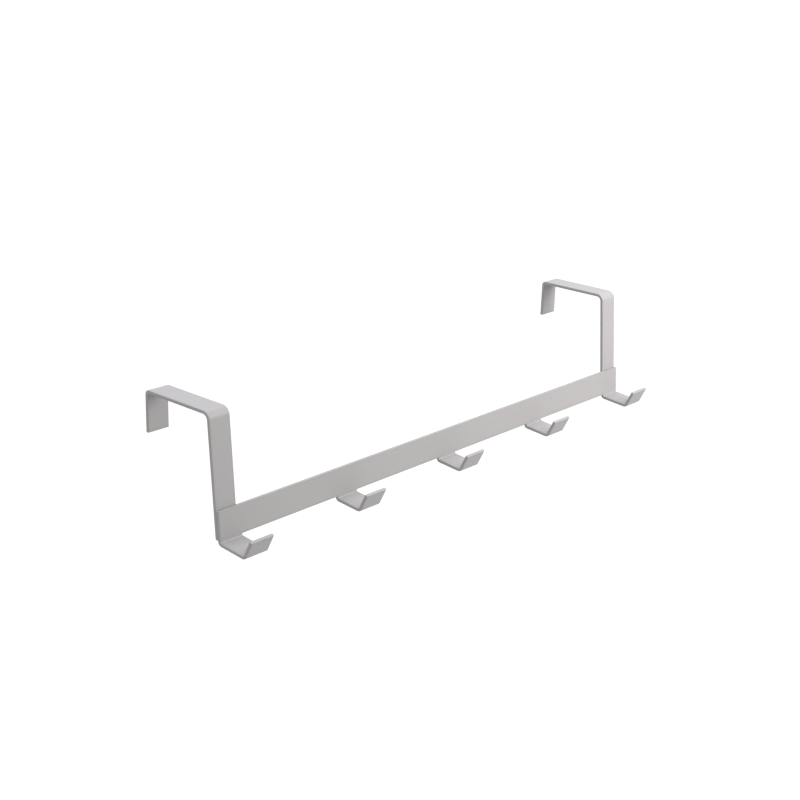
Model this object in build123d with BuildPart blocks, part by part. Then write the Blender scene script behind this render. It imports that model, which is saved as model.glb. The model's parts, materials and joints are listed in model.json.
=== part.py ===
from build123d import *
from math import cos, radians, sin, tan
import os

# Over door hook rack: a flat steel rail with five hooks folded out of its own sheet, and two
# folded straps that are spot welded behind its ends and hang it over a door.
# Frame: X along the rail, -Y to the front, +Z up. The origin is at the middle of the rail's
# flat front.
# Lengths are in millimetres and angles in degrees.

# Rail
rail_length = 350.0
rail_height = 15.7
rail_thickness = 1.8

# Hooks: bend radii are on the inside of the hook, reach is from the front of the rail
hook_count = 5
hook_width = 15.0
hook_reach = 16.1
end_hook_reach = 17.6
floor_droop = 10.0
lip_length = 11.9
lip_lean = 30.8
root_bend_radius = 0.8
root_bend_gap = 0.3
lip_bend_radius = 1.2

# Straps: bend radii are on the door side, the opening is past square
strap_width = 13.5
strap_thickness = 1.8
door_thickness = 45.0
door_clearance = 0.3
rail_drop = 49.3
back_leg_length = 21.4
clip_opening = 5.0
front_bend_radius = 3.0
back_bend_radius = 0.8

# Spot weld marks on the back of the straps, and deburred edges
weld_diameter = 4.0
weld_depth = 0.25
weld_pitch = 6.0
edge_break = 0.3

# Places that follow from the sizes above
rail_bottom = -rail_height / 2
seat_height = rail_height / 2 + rail_drop
hook_pitch = (rail_length - hook_width) / (hook_count - 1)
strap_x = (rail_length - strap_width) / 2
door_face = rail_thickness + strap_thickness
weld_ball = (weld_diameter**2 / 4 + weld_depth**2) / (2 * weld_depth)


def step(start, length, angle):
    """Point at a length from start in the YZ plane, at an angle from +Y towards +Z."""
    return (start[0] + length * cos(radians(angle)), start[1] + length * sin(radians(angle)))


def hook_corners(reach):
    """Corners of the outer face of a hook, from the back of the rail to the tip of the lip."""
    setback = hook_bends[0] * tan(radians(90 - floor_droop) / 2)
    root_corner = (rail_thickness, rail_bottom - root_bend_gap - setback)
    lip_corner = step(root_corner, (rail_thickness + reach) / cos(radians(floor_droop)), 180 + floor_droop)
    return [(rail_thickness, 0), root_corner, lip_corner, step(lip_corner, lip_length, 90 + lip_lean)]


# Bend radii of the outer face of a hook
hook_bends = [root_bend_radius + rail_thickness, lip_bend_radius + rail_thickness]

# Corners and bend radii of the door-side face of a strap, from the back leg to the rail's lower edge
front_corner = (door_face, seat_height)
back_corner = step(front_corner, door_thickness + door_clearance, clip_opening)
back_foot = step(back_corner, back_leg_length, clip_opening - 90)
strap_corners = [back_foot, back_corner, front_corner, (door_face, rail_bottom)]
strap_bends = [back_bend_radius, front_bend_radius]

os.makedirs("parts", exist_ok=True)

# Rail: tongues along its lower edge are folded forwards and up, the outer two flush with its ends
with BuildPart() as rail:
    with BuildSketch(Plane.XZ):
        Rectangle(rail_length, rail_height)
    extrude(amount=-rail_thickness)
    for place in range(hook_count):
        reach = end_hook_reach if place in (0, hook_count - 1) else hook_reach
        with BuildSketch(Plane.YZ.offset((place - (hook_count - 1) / 2) * hook_pitch)):
            with BuildLine():
                FilletPolyline(hook_corners(reach), radius=hook_bends)
                offset(amount=rail_thickness, side=Side.RIGHT)
            make_face()
        extrude(amount=hook_width / 2, both=True)
    sides = rail.faces().filter_by(Axis.X)
    levels = rail.faces().filter_by(Axis.Z).sort_by(Axis.Z)
    tips = rail.faces().filter_by(GeomType.PLANE).sort_by(SortBy.AREA)[:hook_count]
    inner_corners = levels[:-1].edges().filter_by(Axis.Y)
    chamfer((sides + levels + tips).edges() - inner_corners, edge_break)
rail.part.label = "rail"
export_step(rail.part, "parts/rail.step")

# Straps behind the rail, flush with its ends and with its lower edge
for name, x in {"strap_left": -strap_x, "strap_right": strap_x}.items():
    with BuildPart() as strap:
        with BuildSketch(Plane.YZ.offset(x)):
            with BuildLine():
                FilletPolyline(strap_corners, radius=strap_bends)
                offset(amount=strap_thickness, side=Side.RIGHT)
            make_face()
        extrude(amount=strap_width / 2, both=True)
        sides = strap.faces().filter_by(Axis.X)
        cut_ends = strap.faces().filter_by(GeomType.PLANE).sort_by(SortBy.AREA)[:2]
        chamfer((sides + cut_ends).edges(), edge_break)
        with Locations((x, door_face + weld_ball - weld_depth, 0)):
            with GridLocations(weld_pitch, 0, 2, 1):
                Sphere(weld_ball, mode=Mode.SUBTRACT)
    strap.part.label = name
    export_step(strap.part, f"parts/{name}.step")
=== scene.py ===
import json
from math import asin, cos, pi, radians, sin, tan

import bpy
import numpy as np
from bpy.props import FloatProperty, FloatVectorProperty, IntProperty, PointerProperty
from mathutils import Euler, Matrix, Vector


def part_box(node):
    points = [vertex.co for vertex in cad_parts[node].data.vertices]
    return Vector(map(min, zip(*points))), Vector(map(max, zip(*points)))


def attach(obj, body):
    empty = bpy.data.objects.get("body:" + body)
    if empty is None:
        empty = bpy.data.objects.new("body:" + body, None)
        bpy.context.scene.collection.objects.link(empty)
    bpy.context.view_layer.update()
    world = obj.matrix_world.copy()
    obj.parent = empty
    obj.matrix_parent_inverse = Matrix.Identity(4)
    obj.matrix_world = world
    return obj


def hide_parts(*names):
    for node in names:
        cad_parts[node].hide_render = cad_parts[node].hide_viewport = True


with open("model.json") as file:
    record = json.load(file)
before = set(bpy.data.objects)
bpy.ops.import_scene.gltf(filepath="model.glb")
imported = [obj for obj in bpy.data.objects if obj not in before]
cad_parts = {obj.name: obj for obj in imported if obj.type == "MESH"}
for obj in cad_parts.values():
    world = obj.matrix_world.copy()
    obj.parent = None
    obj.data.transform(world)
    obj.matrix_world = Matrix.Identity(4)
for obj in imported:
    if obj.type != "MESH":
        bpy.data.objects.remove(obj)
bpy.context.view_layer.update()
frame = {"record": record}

bl_info = {
    "name": "Over Door Hook Rack",
    "version": (1, 0, 0),
    "blender": (4, 5, 0),
    "location": "View3D > Sidebar > Hook Rack",
    "description": "Builds a hook rack of folded, silver-grey coated strip, with a plain studio around it",
    "category": "Add Mesh",
}

BODY = "root"

# Sizes that the frame holds: the rail's box, a strap's box, and the places where a clip meets the door
RAIL_LOW, RAIL_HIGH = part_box("rail")
STRAP_LOW, STRAP_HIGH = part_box("strap_left")
MOUNTS = {mount["name"]: mount for mount in frame["record"]["mounts"]}
DOOR_FACE = MOUNTS["door_face_left"]["pos_m"][1]
SEAT_AXIS = MOUNTS["door_seat_left"]["axis"]
SEAT_PLACE = MOUNTS["door_seat_left"]["pos_m"]
SEAT_TILT = asin(SEAT_AXIS[1])
SEAT_GAP = 2 * (SEAT_PLACE[1] - DOOR_FACE) / cos(SEAT_TILT)
SEAT_HEIGHT = SEAT_PLACE[2] - (SEAT_PLACE[1] - DOOR_FACE) * tan(SEAT_TILT)


class RackSizes(bpy.types.PropertyGroup):
    """Sizes of the rail, the straps and the hooks"""

    rail_length: FloatProperty(
        name="Rail Length", description="Length of the rail", unit="LENGTH",
        default=RAIL_HIGH.x - RAIL_LOW.x)
    rail_height: FloatProperty(
        name="Rail Height", description="Height of the rail", unit="LENGTH", default=2 * RAIL_HIGH.z)
    rail_thickness: FloatProperty(
        name="Rail Thickness", description="Thickness of the rail and its hooks", unit="LENGTH",
        default=RAIL_HIGH.y)
    strap_width: FloatProperty(
        name="Strap Width", description="Width of a strap", unit="LENGTH",
        default=STRAP_HIGH.x - STRAP_LOW.x)
    strap_thickness: FloatProperty(
        name="Strap Thickness", description="Thickness of a strap", unit="LENGTH",
        default=DOOR_FACE - RAIL_HIGH.y)
    edge_radius: FloatProperty(
        name="Edge Radius", description="Rounding of all cut edges", unit="LENGTH", default=0.0003)
    door_gap: FloatProperty(
        name="Door Gap", description="Inside length of a clip's top", unit="LENGTH", default=SEAT_GAP)
    seat_height: FloatProperty(
        name="Seat Height", description="Inside corner of a clip above the rail's middle", unit="LENGTH",
        default=SEAT_HEIGHT)
    clip_opening: FloatProperty(
        name="Clip Opening", description="Angle by which a clip is open past square", unit="ROTATION",
        default=SEAT_TILT)
    back_leg_length: FloatProperty(
        name="Back Leg", description="Inside length of a clip's back leg", unit="LENGTH", default=0.0214)
    front_bend_radius: FloatProperty(
        name="Front Bend", description="Inside radius of a clip's front bend", unit="LENGTH", default=0.003)
    back_bend_radius: FloatProperty(
        name="Back Bend", description="Inside radius of a clip's back bend", unit="LENGTH", default=0.0008)
    hook_count: IntProperty(
        name="Hooks", description="Number of hooks along the rail", default=5, min=2)
    hook_width: FloatProperty(
        name="Hook Width", description="Width of a hook", unit="LENGTH", default=0.015)
    hook_reach: FloatProperty(
        name="Hook Reach", description="From the rail's front to a hook's outer corner", unit="LENGTH",
        default=0.0161)
    end_hook_reach: FloatProperty(
        name="End Hook Reach", description="The same for the hooks at the rail's ends", unit="LENGTH",
        default=0.0176)
    floor_droop: FloatProperty(
        name="Floor Droop", description="Slope of a hook's floor", unit="ROTATION", default=radians(10.0))
    lip_length: FloatProperty(
        name="Lip Length", description="Outer length of a hook's lip", unit="LENGTH", default=0.0118)
    lip_lean: FloatProperty(
        name="Lip Lean", description="Lean of a hook's lip from upright", unit="ROTATION",
        default=radians(30.8))
    root_bend_radius: FloatProperty(
        name="Root Bend", description="Inside radius of the bend under the rail", unit="LENGTH",
        default=0.0008)
    root_bend_gap: FloatProperty(
        name="Root Gap", description="From the rail's lower edge to the bend under it", unit="LENGTH",
        default=0.0003)
    lip_bend_radius: FloatProperty(
        name="Lip Bend", description="Inside radius of the bend at the lip", unit="LENGTH", default=0.0012)
    weld_diameter: FloatProperty(
        name="Weld Diameter", description="Width of a spot weld's mark", unit="LENGTH", default=0.004)
    weld_depth: FloatProperty(
        name="Weld Depth", description="Depth of a spot weld's mark", unit="LENGTH", default=0.00025)
    weld_pitch: FloatProperty(
        name="Weld Pitch", description="Distance between a strap's two weld marks", unit="LENGTH",
        default=0.006)


class RackFinish(bpy.types.PropertyGroup):
    """Colour and texture of the silver-grey coat"""

    coat_colour: FloatVectorProperty(
        name="Coat Colour", description="Colour of the coat", subtype="COLOR",
        default=(0.398, 0.392, 0.392), min=0.0, max=1.0)
    # Darker colour along cut edges: partly the coat lying thin there, partly painted shade that dims the
    # light the rounded rims catch from the overhead light
    thin_coat_and_rim_shade_colour: FloatVectorProperty(
        name="Thin Coat And Rim Shade Colour", description="Colour where the coat is thin, along cut edges",
        subtype="COLOR", default=(0.315, 0.311, 0.311), min=0.0, max=1.0)
    roughness: FloatProperty(
        name="Roughness", description="Mean roughness of the coat", subtype="FACTOR", default=0.5,
        min=0.0, max=1.0)
    mottle: FloatProperty(
        name="Mottle", description="Change of tone in soft patches", subtype="FACTOR", default=0.03,
        min=0.0, max=1.0)
    streaks: FloatProperty(
        name="Streaks", description="Change of tone in rolling lines along the strip", subtype="FACTOR",
        default=0.02, min=0.0, max=1.0)
    ripple_height: FloatProperty(
        name="Ripple Height", description="Height of the coat's fine ripple", unit="LENGTH",
        default=0.00002)
    ripple_strength: FloatProperty(
        name="Ripple Strength", description="Share of the ripple that shows", subtype="FACTOR",
        default=0.6, min=0.0, max=1.0)


class RackStage(bpy.types.PropertyGroup):
    """Floor, lights and camera"""

    floor_drop: FloatProperty(
        name="Floor Drop", description="Floor below the rail's middle", unit="LENGTH", default=0.30)
    floor_radius: FloatProperty(
        name="Floor Radius", description="Radius of the floor", unit="LENGTH", default=9.0)
    floor_colour: FloatVectorProperty(
        name="Floor Colour", description="Colour of the floor", subtype="COLOR",
        default=(0.49, 0.486, 0.473), min=0.0, max=1.0)
    floor_lift: FloatProperty(
        name="Floor Lift", description="Brightness added to the floor as the camera sees it", default=0.47)
    top_light: FloatProperty(
        name="Top Light", description="Strength of the overhead light", default=2.05)
    top_colour: FloatVectorProperty(
        name="Top Colour", description="Colour of the overhead light", subtype="COLOR",
        default=(0.93, 0.92, 1.0), min=0.0, max=1.0)
    top_spread: FloatProperty(
        name="Top Spread", description="Angle over which the overhead light is spread", unit="ROTATION",
        default=radians(60.0))
    side_light: FloatProperty(
        name="Side Light", description="Power of the softbox at the right", unit="POWER", default=2.62)
    side_colour: FloatVectorProperty(
        name="Side Colour", description="Colour of the softbox at the right", subtype="COLOR",
        default=(1.0, 0.97, 0.94), min=0.0, max=1.0)
    side_size: FloatProperty(
        name="Side Size", description="Width and height of the softbox", unit="LENGTH", default=0.35)
    side_place: FloatVectorProperty(
        name="Side Place", description="Place of the softbox", subtype="TRANSLATION", unit="LENGTH",
        default=(0.30, -0.40, 0.25))
    ambient: FloatProperty(
        name="Ambient", description="Strength of the light from all round", default=0.655)
    camera_lens: FloatProperty(
        name="Lens", description="Focal length", unit="CAMERA", default=65.410)
    camera_place: FloatVectorProperty(
        name="Camera", description="Place of the camera", subtype="TRANSLATION", unit="LENGTH",
        default=(-0.61340, -0.52696, 0.25066))
    camera_azimuth: FloatProperty(
        name="Azimuth", description="Direction of the camera about the upright", unit="ROTATION",
        default=radians(-47.471))
    camera_elevation: FloatProperty(
        name="Elevation", description="Angle at which the camera looks down", unit="ROTATION",
        default=radians(15.517))
    camera_roll: FloatProperty(
        name="Roll", description="Turn of the camera about its own line of sight", unit="ROTATION",
        default=radians(-2.044))


# Folded strip

# Steps along runs, round bends, across a strap's faces and over the rail's sheet
RUN_STEP = 0.0025
BEND_STEP = radians(6.0)
FACE_STEP = 0.00036
SHEET_STEP = 0.0012

# Steps round the quarter circle of an edge and up a strap's narrow side
ROUND_STEPS = 5
SIDE_STEPS = 3

# Rounding left at a strap's very end, as a share of the edge radius
SMALLEST_ROUND = 0.06

# Extra stations over a weld mark, and how far they go to either side in diameters
WELD_STATIONS = 19
WELD_REACH = 0.6

# Distance over which the thin coat and painted rim shade at an edge fade out, and how far the faces stay
# inside the solids' box
EDGE_FADE = 0.0005
INSIDE = 0.000005

# Decimals to which places are told apart, slack when they are compared, and the cosine of "square on"
DECIMALS = 8
SLACK = 1e-6
SQUARE_ON = 0.999


def step(start, length, angle):
    """Point at a length from start, at an angle from the first axis towards the second."""
    return (start[0] + length * cos(angle), start[1] + length * sin(angle))


def even_steps(low, high, spacing):
    """Even steps from low to high, no longer than spacing."""
    return np.linspace(low, high, max(int(np.ceil((high - low) / spacing)), 1) + 1)


def rolled_steps(radius):
    """Distances from an edge at even angles of its quarter circle: r * (1 - cos a)."""
    return radius * (1 - np.cos(np.linspace(0, pi / 2, ROUND_STEPS + 1)))


class FoldedPath:
    """Straight runs joined by tangent arcs.

    Each corner of a polyline is cut back by radius * tan(turn / 2) on both sides, and an arc of that
    radius joins the two cuts. A stretch of the path has a start point, a heading and a curvature, which
    is 0 on a run.
    """

    def __init__(self, corners, radii):
        corners = np.array(corners, float)
        radii = np.array(radii, float)
        legs = np.diff(corners, axis=0)
        heading = np.unwrap(np.arctan2(legs[:, 1], legs[:, 0]))
        ahead = np.stack([np.cos(heading), np.sin(heading)], axis=1)
        turn = np.diff(heading)
        cut = radii * np.tan(np.abs(turn) / 2)
        cut_before = np.concatenate([[0.0], cut])
        cut_after = np.concatenate([cut, [0.0]])
        stretches = 2 * len(legs) - 1
        self.length = np.zeros(stretches)
        self.length[0::2] = np.hypot(*legs.T) - cut_before - cut_after
        self.length[1::2] = radii * np.abs(turn)
        self.curvature = np.zeros(stretches)
        self.curvature[1::2] = np.sign(turn) / radii
        self.heading = np.repeat(heading, 2)[:stretches]
        self.start = np.zeros((stretches, 2))
        self.start[0::2] = corners[:-1] + ahead * cut_before[:, None]
        self.start[1::2] = corners[1:-1] - ahead[:-1] * cut[:, None]
        self.begin = np.concatenate([[0.0], np.cumsum(self.length)])

    def stations(self, edge_radius, extra=()):
        """Distances along the path: even steps on runs, finer in bends, finest where the ends round off."""
        turn = np.abs(self.curvature) * self.length
        spans = np.where(self.curvature == 0, self.length / RUN_STEP, turn / BEND_STEP)
        counts = np.maximum(np.ceil(spans).astype(int), 1) + 1
        rows = [np.linspace(a, b, n) for a, b, n in zip(self.begin[:-1], self.begin[1:], counts)]
        rolled = rolled_steps(edge_radius)
        rows += [rolled, self.begin[-1] - rolled, np.asarray(extra, float)]
        return np.unique(np.round(np.concatenate(rows), DECIMALS))

    def at(self, along):
        """Points and headings at distances along the path.

        A stretch turns by curvature * distance, and the chord to a point of it is as long as the distance
        times sin(turn / 2) / (turn / 2) and points half-way through the turn.
        """
        stretch = np.clip(np.searchsorted(self.begin, along, side="right") - 1, 0, len(self.length) - 1)
        past = along - self.begin[stretch]
        turn = self.curvature[stretch] * past
        middle = self.heading[stretch] + turn / 2
        chord = past * np.sinc(turn / (2 * pi))
        points = self.start[stretch] + chord[:, None] * np.stack([np.cos(middle), np.sin(middle)], axis=1)
        return points, self.heading[stretch] + turn


def add_piece(mesh, node, material):
    """Object of a strip that stands for a CAD node and moves with the rack."""
    mesh.materials.append(material)
    piece = bpy.data.objects.new(mesh.name, mesh)
    bpy.context.scene.collection.objects.link(piece)
    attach(piece, BODY)
    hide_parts(node)


# Straps


def strap_corners(sizes):
    """Corners and bend radii of a strap's door-side face, from the back foot to the rail's lower edge."""
    door = sizes.rail_thickness + sizes.strap_thickness
    front = (door, sizes.seat_height)
    back = step(front, sizes.door_gap, sizes.clip_opening)
    foot = step(back, sizes.back_leg_length, sizes.clip_opening - pi / 2)
    end = (door, -sizes.rail_height / 2)
    return [foot, back, front, end], [sizes.back_bend_radius, sizes.front_bend_radius]


def rounded_section(width, thickness, radius):
    """Section of a strip: points of a core rectangle, each carried outwards by radius.

    Points on a side go straight out, and those at a corner go out in steps round its quarter circle.
    Returns the core points (across, through), the outward directions, the distance from the nearest edge
    and whether a point is on the back face.
    """
    half = width / 2 - radius
    low, high = radius, thickness - radius
    faces = max(int(np.ceil(2 * half / FACE_STEP)), 2)
    run = np.linspace(-half, half, faces + 1)
    rise = np.linspace(low, high, SIDE_STEPS + 1)
    arc = np.linspace(0, pi / 2, ROUND_STEPS + 1)[1:-1]
    ones = np.ones_like

    def side(across, through, angle):
        return np.stack([across, through, angle], axis=1)

    section = np.concatenate([
        side(run, low * ones(run), -pi / 2 * ones(run)),
        side(half * ones(arc), low * ones(arc), arc - pi / 2),
        side(half * ones(rise), rise, 0 * ones(rise)),
        side(half * ones(arc), high * ones(arc), arc),
        side(run[::-1], high * ones(run), pi / 2 * ones(run)),
        side(-half * ones(arc), high * ones(arc), arc + pi / 2),
        side(-half * ones(rise), rise[::-1], pi * ones(rise)),
        side(-half * ones(arc), low * ones(arc), arc + pi),
    ])
    core, angle = section[:, :2], section[:, 2]
    outward = np.stack([np.cos(angle), np.sin(angle)], axis=1)
    on_wide_face = np.abs(outward[:, 1]) > SQUARE_ON
    from_edge = np.where(on_wide_face, half - np.abs(core[:, 0]), 0.0)
    on_back = outward[:, 1] < -SQUARE_ON
    return core, outward, from_edge, on_back


def strip_surface(path, width, thickness, radius, weld):
    """A rounded section carried along a folded path, on a grid of stations by section points.

    At a distance d from either end the section's rounding is sqrt(r^2 - (r - d)^2), so the ends roll off
    in the same quarter circle as the long edges. A weld mark is a shallow ball pressed into the back face.
    Returns the points as (first axis, second axis, across), the distance along, the distance around and
    how near each point is to an edge.
    """
    spread = np.linspace(-WELD_REACH, WELD_REACH, WELD_STATIONS) * weld["diameter"]
    along = path.stations(radius, weld["along"] + spread)
    core, outward, from_edge, on_back = rounded_section(width, thickness, radius)
    from_end = np.minimum(along, path.begin[-1] - along)
    inset = np.clip(radius - from_end, 0.0, radius * (1 - SMALLEST_ROUND**2 / 2))
    rounding = np.sqrt(radius**2 - inset**2)
    across = core[None, :, 0] + rounding[:, None] * outward[None, :, 0]
    through = core[None, :, 1] + rounding[:, None] * outward[None, :, 1]
    ball = (weld["diameter"] ** 2 / 4 + weld["depth"] ** 2) / (2 * weld["depth"])
    for side in (-0.5, 0.5):
        away = (along[:, None] - weld["along"]) ** 2 + (across - side * weld["pitch"]) ** 2
        dent = np.sqrt(np.maximum(ball**2 - away, 0.0)) - (ball - weld["depth"])
        through = through + np.maximum(dent, 0.0) * on_back
    points, heading = path.at(along)
    first = points[:, :1] + np.sin(heading)[:, None] * through
    second = points[:, 1:] - np.cos(heading)[:, None] * through
    closed = np.concatenate([core + radius * outward, core[:1] + radius * outward[:1]])
    around = np.concatenate([[0.0], np.cumsum(np.hypot(*np.diff(closed, axis=0).T))])
    near = np.minimum(from_end[:, None], from_edge[None, :])
    return np.stack([first, second, across], axis=-1), along, around, np.exp(-((near / EDGE_FADE) ** 2))


def strip_mesh(name, points, along, around, edge):
    """Closed tube of quads over the grid, with a flat fan of triangles from each end's middle point.

    The UV map is the distance along and around in metres, and the edge attribute is 1 at an edge.
    """
    rows, columns = points.shape[:2]
    i, j = np.meshgrid(np.arange(rows - 1), np.arange(columns), indexing="ij")
    k = (j + 1) % columns
    below, above = i * columns, (i + 1) * columns
    tube = np.stack([below + j, below + k, above + k, above + j], axis=-1)
    here, following = np.arange(columns), np.roll(np.arange(columns), -1)
    last = (rows - 1) * columns
    middle = np.full(columns, rows * columns)
    first_fan = np.stack([middle, following, here], axis=1)
    last_fan = np.stack([middle + 1, last + here, last + following], axis=1)
    centres = points[[0, -1]].mean(axis=1)
    mesh = bpy.data.meshes.new(name)
    mesh.from_pydata(np.concatenate([points.reshape(-1, 3), centres]), [],
                     tube.reshape(-1, 4).tolist() + first_fan.tolist() + last_fan.tolist())
    corner_along = np.stack([along[i], along[i], along[i + 1], along[i + 1]], axis=-1)
    corner_around = np.stack([around[j], around[j + 1], around[j + 1], around[j]], axis=-1)
    tube_uv = np.stack([corner_along, corner_around], axis=-1).reshape(-1, 2)
    first_around = np.stack([around[:-1], around[1:], around[:-1]], axis=1).ravel()
    last_around = np.stack([around[:-1], around[:-1], around[1:]], axis=1).ravel()
    first_uv = np.stack([np.full(3 * columns, along[0]), first_around], axis=1)
    last_uv = np.stack([np.full(3 * columns, along[-1]), last_around], axis=1)
    uv = np.concatenate([tube_uv, first_uv, last_uv]).astype(np.float32)
    mesh.uv_layers.new(name="strip").data.foreach_set("uv", uv.ravel())
    edge = np.concatenate([edge.ravel(), [1.0, 1.0]]).astype(np.float32)
    mesh.attributes.new("edge", "FLOAT", "POINT").data.foreach_set("value", edge)
    smooth = np.ones(len(mesh.polygons), bool)
    smooth[-2 * columns:] = False
    mesh.polygons.foreach_set("use_smooth", smooth)
    mesh.validate()
    mesh.update()
    return mesh


# Rail with hooks folded out of its sheet


def hook_corners(sizes, reach):
    """Corners and bend radii of a hook's outer face, from the rail's upper edge to the tip of the lip."""
    thickness = sizes.rail_thickness
    root_outer = sizes.root_bend_radius + thickness
    lip_outer = sizes.lip_bend_radius + thickness
    root_drop = sizes.root_bend_gap + root_outer * tan((pi / 2 - sizes.floor_droop) / 2)
    top = (thickness, sizes.rail_height / 2)
    root = (thickness, -sizes.rail_height / 2 - root_drop)
    lip = step(root, (thickness + reach) / cos(sizes.floor_droop), pi + sizes.floor_droop)
    tip = step(lip, sizes.lip_length, pi / 2 + sizes.lip_lean)
    return [top, root, lip, tip], [root_outer, lip_outer]


def flat_blank(sizes, hooks, paths):
    """The rail's sheet before it is folded, on grids of (x, distance down the sheet).

    One grid covers the rail. A grid per hook covers its tongue, and starts from the rail's lowest row.
    Returns the places, the number of the hook whose path carries each of them, and the quads of one face.
    """
    radius, half_width, height = sizes.edge_radius, sizes.hook_width / 2, sizes.rail_height
    rolled = rolled_steps(radius)
    tongue = np.concatenate([
        rolled - half_width, even_steps(radius - half_width, half_width - radius, SHEET_STEP),
        half_width - rolled])
    between = [even_steps(a + half_width, b - half_width, RUN_STEP) for a, b in zip(hooks[:-1], hooks[1:])]
    across = np.concatenate([(hooks[:, None] + tongue).ravel(), *between])
    across = np.unique(np.round(across, DECIMALS))
    upright = np.concatenate([rolled, even_steps(radius, height - radius, SHEET_STEP), height - rolled])
    upright = np.unique(np.round(upright, DECIMALS))

    places = [np.stack(np.meshgrid(across, upright), axis=-1).reshape(-1, 2)]
    owner = [np.zeros(len(places[0]), int)]
    grid = np.arange(len(places[0])).reshape(len(upright), len(across))
    blocks = [grid]
    for count, (middle, path) in enumerate(zip(hooks, paths)):
        rows = path.stations(radius)
        rows = rows[rows > height + SLACK]
        columns = np.flatnonzero(np.abs(across - middle) < half_width + SLACK)
        places.append(np.stack(np.meshgrid(across[columns], rows), axis=-1).reshape(-1, 2))
        owner.append(np.full(len(places[-1]), count))
        block = sum(map(len, places[:-1])) + np.arange(len(places[-1])).reshape(len(rows), len(columns))
        blocks.append(np.concatenate([grid[-1:, columns], block]))
    quads = [np.stack([b[:-1, :-1], b[:-1, 1:], b[1:, 1:], b[1:, :-1]], axis=-1) for b in blocks]
    quads = np.concatenate([block.reshape(-1, 4) for block in quads])
    return np.concatenate(places), np.concatenate(owner), quads


def from_outline(x, down, hooks, half_width, half_length, height, ends):
    """Distance of points of the flat blank from its outline.

    The blank is the rail's rectangle with a tongue per hook below it, so a point is at the least of its
    distances from the rail's ends and upper edge, from the rail's lower edge beside the tongues, from a
    tongue's sides and from its tip.
    """
    away = np.abs(x[..., None] - hooks)
    nearest = away.argmin(axis=-1)
    off = np.take_along_axis(away, nearest[..., None], axis=-1)[..., 0]
    below = down - height
    beside = np.hypot(np.maximum(half_width - off, 0.0), np.maximum(-below, 0.0))
    on_tongue = np.minimum(half_width - off, ends[nearest] - down)
    on_rail = np.minimum(np.minimum(down, half_length - np.abs(x)), beside)
    return np.where(below > 0, on_tongue, on_rail)


def folded_blank(sizes):
    """The rail and its hooks as one folded sheet.

    A point of the flat blank is carried down its hook's folded path and then out along the path's normal.
    Near the outline, at a distance d less than the rounding r, the sheet's two faces draw in by
    r - sqrt(r^2 - (r - d)^2), so that every cut edge rounds off in a quarter circle.
    Returns points of the outer face and of the inner face, the place on the flat blank, the distance from
    the outline and the quads of one face.
    """
    radius = sizes.edge_radius
    half_length, half_width = sizes.rail_length / 2, sizes.hook_width / 2
    hooks = np.linspace(half_width - half_length, half_length - half_width, sizes.hook_count)
    reaches = np.full(sizes.hook_count, sizes.hook_reach)
    reaches[[0, -1]] = sizes.end_hook_reach
    paths = [FoldedPath(*hook_corners(sizes, reach)) for reach in reaches]
    flat, owner, quads = flat_blank(sizes, hooks, paths)
    ends = np.array([path.begin[-1] for path in paths])
    near = from_outline(*flat.T, hooks, half_width, half_length, sizes.rail_height, ends)
    inset = np.clip(radius - near, 0.0, radius)
    draw_in = radius - np.sqrt(radius**2 - inset**2)
    faces = []
    for through in (draw_in + INSIDE, sizes.rail_thickness - draw_in):
        points = np.zeros((len(flat), 3))
        points[:, 0] = flat[:, 0]
        for count, path in enumerate(paths):
            mine = owner == count
            folded, heading = path.at(flat[mine, 1])
            points[mine, 1] = folded[:, 0] + np.sin(heading) * through[mine]
            points[mine, 2] = folded[:, 1] - np.cos(heading) * through[mine]
        faces.append(points)
    return *faces, flat, near, quads


def sheet_mesh(name, outer, inner, flat, near, quads):
    """Closed sheet: the two faces, and a wall of quads round the outline from one to the other.

    The UV map is the place on the flat blank in metres, and the edge attribute is 1 at an edge.
    """
    count = len(outer)
    sides = np.concatenate([quads[:, [0, 1]], quads[:, [1, 2]], quads[:, [2, 3]], quads[:, [3, 0]]])
    alone = ~np.isin(sides[:, 0] * count + sides[:, 1], sides[:, 1] * count + sides[:, 0])
    rim = sides[alone]
    walls = np.stack([rim[:, 1], rim[:, 0], rim[:, 0] + count, rim[:, 1] + count], axis=1)
    shapes = np.concatenate([quads, quads[:, ::-1] + count, walls])
    mesh = bpy.data.meshes.new(name)
    mesh.from_pydata(np.concatenate([outer, inner]), [], shapes.tolist())
    uv = np.concatenate([flat, flat])[shapes.ravel()].astype(np.float32)
    mesh.uv_layers.new(name="strip").data.foreach_set("uv", uv.ravel())
    edge = np.exp(-((np.concatenate([near, near]) / EDGE_FADE) ** 2)).astype(np.float32)
    mesh.attributes.new("edge", "FLOAT", "POINT").data.foreach_set("value", edge)
    mesh.polygons.foreach_set("use_smooth", np.ones(len(shapes), bool))
    mesh.validate()
    mesh.update()
    return mesh


# Finish

# Noise of the soft patches, the rolling lines and the ripple, and waves per metre along and across a strip
PATCH_NOISE = {"Scale": 38.0, "Detail": 3.0, "Roughness": 0.55}
LINE_NOISE = {"Scale": 1.0, "Detail": 4.0, "Roughness": 0.6}
RIPPLE_NOISE = {"Scale": 1500.0, "Detail": 2.0, "Roughness": 0.5}
LINE_WAVES = (9.0, 1500.0, 1.0)


def add_node(tree, kind, place, inputs=None, **settings):
    """A shader node at a place in the tree, with constant inputs by name and the settings of its own."""
    node = tree.nodes.new(kind)
    node.location = place
    for key, value in settings.items():
        setattr(node, key, value)
    for key, value in (inputs or {}).items():
        node.inputs[key].default_value = value
    return node


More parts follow.
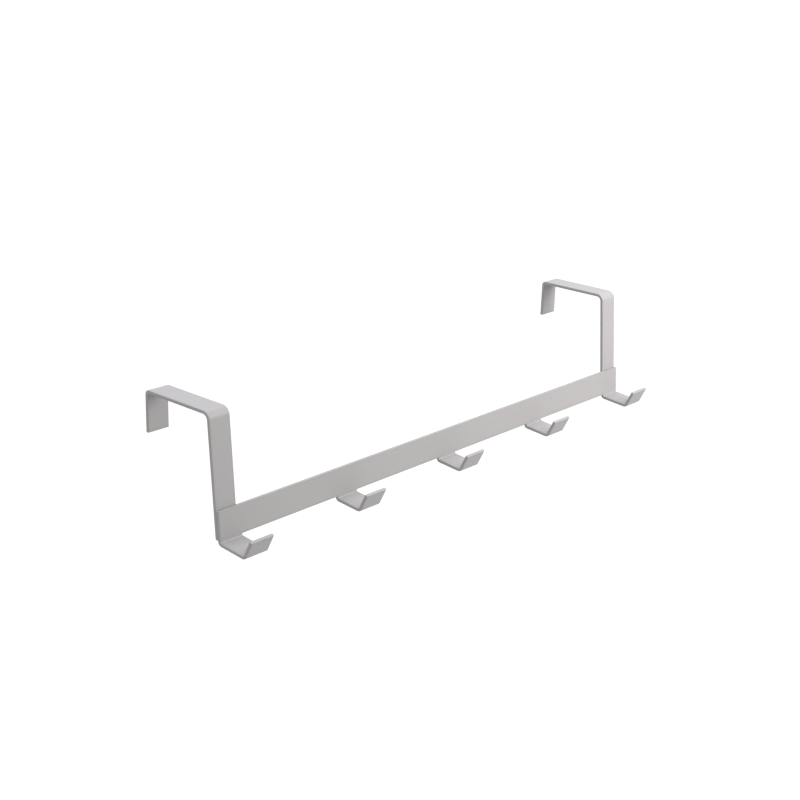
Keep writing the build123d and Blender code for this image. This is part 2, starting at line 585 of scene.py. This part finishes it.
def coat_texture_group():
    """Node group of the coat's texture: soft patches, rolling lines, a fine ripple, and edges darkened by
    thin coat and by painted shade on the lit rims.
    """
    group = bpy.data.node_groups.new("coat_texture", "ShaderNodeTree")
    colour, value = "NodeSocketColor", "NodeSocketFloat"
    for direction, sockets in (
            ("INPUT", {"Coat": colour, "Thin Coat And Rim Shade": colour, "Mottle": value, "Streaks": value,
                       "Roughness": value}),
            ("OUTPUT", {"Colour": colour, "Roughness": value, "Height": value})):
        for name, kind in sockets.items():
            group.interface.new_socket(name=name, in_out=direction, socket_type=kind)
    given = add_node(group, "NodeGroupInput", (-1000, 0))
    result = add_node(group, "NodeGroupOutput", (900, 0))
    link = group.links.new
    place = add_node(group, "ShaderNodeTexCoord", (-1000, -300))
    patches = add_node(group, "ShaderNodeTexNoise", (-700, 200), PATCH_NOISE)
    link(place.outputs["Object"], patches.inputs["Vector"])
    stretched = add_node(group, "ShaderNodeMapping", (-850, -100), {"Scale": LINE_WAVES})
    link(place.outputs["UV"], stretched.inputs["Vector"])
    lines = add_node(group, "ShaderNodeTexNoise", (-650, -100), LINE_NOISE)
    link(stretched.outputs["Vector"], lines.inputs["Vector"])
    ripple = add_node(group, "ShaderNodeTexNoise", (-650, -400), RIPPLE_NOISE)
    link(place.outputs["Object"], ripple.inputs["Vector"])
    edge = add_node(group, "ShaderNodeAttribute", (-650, -700), attribute_name="edge")

    def centred(source, amount, spot):
        """1 + amount * (2 * noise - 1)"""
        shifted = add_node(group, "ShaderNodeMath", spot, {1: 2.0, 2: -1.0}, operation="MULTIPLY_ADD")
        link(source, shifted.inputs[0])
        beside = (spot[0] + 160, spot[1])
        scaled = add_node(group, "ShaderNodeMath", beside, {2: 1.0}, operation="MULTIPLY_ADD")
        link(shifted.outputs[0], scaled.inputs[0])
        link(amount, scaled.inputs[1])
        return scaled.outputs[0]

    def product(first, second, spot):
        """first * second"""
        node = add_node(group, "ShaderNodeMath", spot, operation="MULTIPLY")
        link(first, node.inputs[0])
        link(second, node.inputs[1])
        return node.outputs[0]

    patch_tone = centred(patches.outputs["Fac"], given.outputs["Mottle"], (-450, 200))
    line_tone = centred(lines.outputs["Fac"], given.outputs["Streaks"], (-450, -100))
    tone = product(patch_tone, line_tone, (-80, 60))
    # Edges mix towards the darker colour: the coat's thinning there, and painted shade that dims the rims
    # the overhead light catches
    rim_thin_coat_and_shade = product(edge.outputs["Fac"], patches.outputs["Fac"], (-450, -700))
    thinned_and_shaded = add_node(group, "ShaderNodeMix", (100, 250), data_type="RGBA")
    link(rim_thin_coat_and_shade, thinned_and_shaded.inputs["Factor"])
    link(given.outputs["Coat"], thinned_and_shaded.inputs["A"])
    link(given.outputs["Thin Coat And Rim Shade"], thinned_and_shaded.inputs["B"])
    toned = add_node(group, "ShaderNodeVectorMath", (350, 200), operation="SCALE")
    link(thinned_and_shaded.outputs["Result"], toned.inputs[0])
    link(tone, toned.inputs["Scale"])
    link(toned.outputs[0], result.inputs["Colour"])
    link(product(given.outputs["Roughness"], line_tone, (350, 0)), result.inputs["Roughness"])
    link(ripple.outputs["Fac"], result.inputs["Height"])
    return group


def silver_grey_coat(finish):
    """The rack's one finish: a satin silver-grey coat over rolled strip, darker along cut edges, partly thin
    coat and partly painted shade on the lit rims.
    """
    material = bpy.data.materials.get("silver_grey_coat")
    if material is not None:
        return material
    material = bpy.data.materials.new("silver_grey_coat")
    material.use_nodes = True
    tree = material.node_tree
    shader = tree.nodes["Principled BSDF"]
    texture = add_node(tree, "ShaderNodeGroup", (-500, 0), node_tree=coat_texture_group())
    texture.inputs["Coat"].default_value = (*finish.coat_colour, 1.0)
    texture.inputs["Thin Coat And Rim Shade"].default_value = (*finish.thin_coat_and_rim_shade_colour, 1.0)
    texture.inputs["Mottle"].default_value = finish.mottle
    texture.inputs["Streaks"].default_value = finish.streaks
    texture.inputs["Roughness"].default_value = finish.roughness
    bump = add_node(tree, "ShaderNodeBump", (-250, -250),
                    {"Strength": finish.ripple_strength, "Distance": finish.ripple_height})
    tree.links.new(texture.outputs["Colour"], shader.inputs["Base Color"])
    tree.links.new(texture.outputs["Roughness"], shader.inputs["Roughness"])
    tree.links.new(texture.outputs["Height"], bump.inputs["Height"])
    tree.links.new(bump.outputs["Normal"], shader.inputs["Normal"])
    return material


# Stage

WHITE = (1.0, 1.0, 1.0, 1.0)

# Rings and spokes of the floor, the least share of its radius, and the power that crowds rings inwards
FLOOR_RINGS = 40
FLOOR_SPOKES = 72
FLOOR_HUB = 0.002
FLOOR_CROWDING = 1.5
FLOOR_ROUGHNESS = 0.9
FLOOR_GLOSS = 0.2

# Where the overhead light comes from, what the softbox points at, and the background as the camera sees it
TOP_FROM = (0.05, 0.3, 1.0)
SIDE_TARGET = (0.12, 0.0, 0.02)
BACKDROP = 1.1
NEAREST_SEEN, FARTHEST_SEEN = 0.01, 100.0


def floor_disc(stage):
    """Round floor: point (r cos a, r sin a) on a grid of rings and spokes, finer towards the middle."""
    ring = stage.floor_radius * np.linspace(FLOOR_HUB, 1.0, FLOOR_RINGS) ** FLOOR_CROWDING
    angle = np.linspace(0, 2 * pi, FLOOR_SPOKES, endpoint=False)
    x, y = ring[:, None] * np.cos(angle), ring[:, None] * np.sin(angle)
    points = np.stack([x, y, np.full(x.shape, -stage.floor_drop)], axis=-1).reshape(-1, 3)
    i, j = np.meshgrid(np.arange(FLOOR_RINGS - 1), np.arange(FLOOR_SPOKES), indexing="ij")
    k = (j + 1) % FLOOR_SPOKES
    within, around = i * FLOOR_SPOKES, (i + 1) * FLOOR_SPOKES
    quads = np.stack([within + j, around + j, around + k, within + k], axis=-1).reshape(-1, 4)
    mesh = bpy.data.meshes.new("floor")
    mesh.from_pydata(points, [], quads.tolist() + [list(range(FLOOR_SPOKES))])
    mesh.update()
    return mesh


def pale_floor(stage):
    """Matt pale floor, which the camera alone sees brightened to white."""
    material = bpy.data.materials.new("pale_floor")
    material.use_nodes = True
    tree = material.node_tree
    shader = tree.nodes["Principled BSDF"]
    shader.inputs["Base Color"].default_value = (*stage.floor_colour, 1.0)
    shader.inputs["Roughness"].default_value = FLOOR_ROUGHNESS
    shader.inputs["Specular IOR Level"].default_value = FLOOR_GLOSS
    shader.inputs["Emission Color"].default_value = WHITE
    seen_by = add_node(tree, "ShaderNodeLightPath", (-500, -300))
    lift = add_node(tree, "ShaderNodeMath", (-250, -300), {1: stage.floor_lift}, operation="MULTIPLY")
    tree.links.new(seen_by.outputs["Is Camera Ray"], lift.inputs[0])
    tree.links.new(lift.outputs[0], shader.inputs["Emission Strength"])
    return material


def aim(place, target):
    """Turn that points an object's own -Z from place to target."""
    return (Vector(target) - Vector(place)).to_track_quat("-Z", "Y").to_euler()


def studio_lights(stage):
    """A wide overhead light, and a softbox at the right that brightens the rack's far end."""
    top = bpy.data.lights.new("top_light", "SUN")
    top.energy = stage.top_light
    top.angle = stage.top_spread
    top.color = stage.top_colour
    top_object = bpy.data.objects.new("top_light", top)
    top_object.rotation_euler = aim(TOP_FROM, (0.0, 0.0, 0.0))

    side = bpy.data.lights.new("side_light", "AREA")
    side.energy = stage.side_light
    side.color = stage.side_colour
    side.shape = "RECTANGLE"
    side.size = side.size_y = stage.side_size
    side_object = bpy.data.objects.new("side_light", side)
    side_object.location = stage.side_place
    side_object.rotation_euler = aim(side_object.location, SIDE_TARGET)
    return top_object, side_object


def studio_room(stage):
    """Even white light from all round, and a brighter white where the camera sees past the floor."""
    world = bpy.data.worlds.new("studio")
    world.use_nodes = True
    tree = world.node_tree
    lit = tree.nodes["Background"]
    lit.inputs["Strength"].default_value = stage.ambient
    lit.inputs["Color"].default_value = WHITE
    seen = add_node(tree, "ShaderNodeBackground", (0, -200), {"Color": WHITE, "Strength": BACKDROP})
    path = add_node(tree, "ShaderNodeLightPath", (0, 300))
    choice = add_node(tree, "ShaderNodeMixShader", (250, 0))
    tree.links.new(path.outputs["Is Camera Ray"], choice.inputs["Fac"])
    tree.links.new(lit.outputs[0], choice.inputs[1])
    tree.links.new(seen.outputs[0], choice.inputs[2])
    tree.links.new(choice.outputs[0], tree.nodes["World Output"].inputs["Surface"])
    return world


def studio_camera(stage):
    """Camera at its place, turned about the upright, down by its elevation and then about its own sight."""
    camera = bpy.data.cameras.new("camera")
    camera.lens = stage.camera_lens
    camera.clip_start, camera.clip_end = NEAREST_SEEN, FARTHEST_SEEN
    camera_object = bpy.data.objects.new("camera", camera)
    level = Euler((pi / 2 - stage.camera_elevation, 0.0, stage.camera_azimuth)).to_matrix()
    turned = level @ Matrix.Rotation(stage.camera_roll, 3, "Z")
    camera_object.matrix_world = Matrix.Translation(stage.camera_place) @ turned.to_4x4()
    return camera_object


# Operators


class RACK_OT_rail(bpy.types.Operator):
    """Make the flat rail with the hooks folded out of its lower edge"""

    bl_idname = "rack.rail"
    bl_label = "Rail"

    def execute(self, context):
        sheet = sheet_mesh("coated_rail", *folded_blank(context.scene.rack_sizes))
        add_piece(sheet, "rail", silver_grey_coat(context.scene.rack_finish))
        return {"FINISHED"}


class RACK_OT_straps(bpy.types.Operator):
    """Make the two straps, each a clip over the door with its front leg behind the rail"""

    bl_idname = "rack.straps"
    bl_label = "Straps"

    def execute(self, context):
        sizes = context.scene.rack_sizes
        coat = silver_grey_coat(context.scene.rack_finish)
        path = FoldedPath(*strap_corners(sizes))
        weld = {
            "along": path.begin[-1] - sizes.rail_height / 2,
            "diameter": sizes.weld_diameter,
            "depth": sizes.weld_depth,
            "pitch": sizes.weld_pitch,
        }
        points, along, around, edge = strip_surface(
            path, sizes.strap_width, sizes.strap_thickness - INSIDE, sizes.edge_radius, weld)
        middle = (sizes.rail_length - sizes.strap_width) / 2
        for node, x in (("strap_left", -middle), ("strap_right", middle)):
            placed = points[..., [2, 0, 1]] + np.array([x, 0.0, 0.0])
            add_piece(strip_mesh(f"coated_{node}", placed, along, around, edge), node, coat)
        return {"FINISHED"}


class RACK_OT_stage(bpy.types.Operator):
    """Set up the floor, the lights and the camera"""

    bl_idname = "rack.stage"
    bl_label = "Stage"

    def execute(self, context):
        scene = context.scene
        stage = scene.rack_stage
        mesh = floor_disc(stage)
        mesh.materials.append(pale_floor(stage))
        floor = bpy.data.objects.new("floor", mesh)
        scene.collection.objects.link(floor)
        for light in studio_lights(stage):
            scene.collection.objects.link(light)
        scene.world = studio_room(stage)
        scene.camera = studio_camera(stage)
        scene.collection.objects.link(scene.camera)
        scene.view_settings.view_transform = "Standard"
        return {"FINISHED"}


class RACK_PT_sidebar(bpy.types.Panel):
    """Sizes, finish and stage of the rack"""

    bl_label = "Hook Rack"
    bl_idname = "RACK_PT_sidebar"
    bl_space_type = "VIEW_3D"
    bl_region_type = "UI"
    bl_category = "Hook Rack"

    def draw(self, context):
        layout = self.layout
        for operator in OPERATORS:
            layout.operator(operator.bl_idname)
        for group in (context.scene.rack_sizes, context.scene.rack_finish, context.scene.rack_stage):
            box = layout.box()
            for name in group.__annotations__:
                box.prop(group, name)


OPERATORS = (RACK_OT_rail, RACK_OT_straps, RACK_OT_stage)
CLASSES = (RackSizes, RackFinish, RackStage, *OPERATORS, RACK_PT_sidebar)


def register():
    for kind in CLASSES:
        bpy.utils.register_class(kind)
    bpy.types.Scene.rack_sizes = PointerProperty(type=RackSizes)
    bpy.types.Scene.rack_finish = PointerProperty(type=RackFinish)
    bpy.types.Scene.rack_stage = PointerProperty(type=RackStage)


def unregister():
    del bpy.types.Scene.rack_stage
    del bpy.types.Scene.rack_finish
    del bpy.types.Scene.rack_sizes
    for kind in reversed(CLASSES):
        bpy.utils.unregister_class(kind)


def main():
    register()
    bpy.ops.rack.rail()
    bpy.ops.rack.straps()
    bpy.ops.rack.stage()


if __name__ == "__main__":
    main()
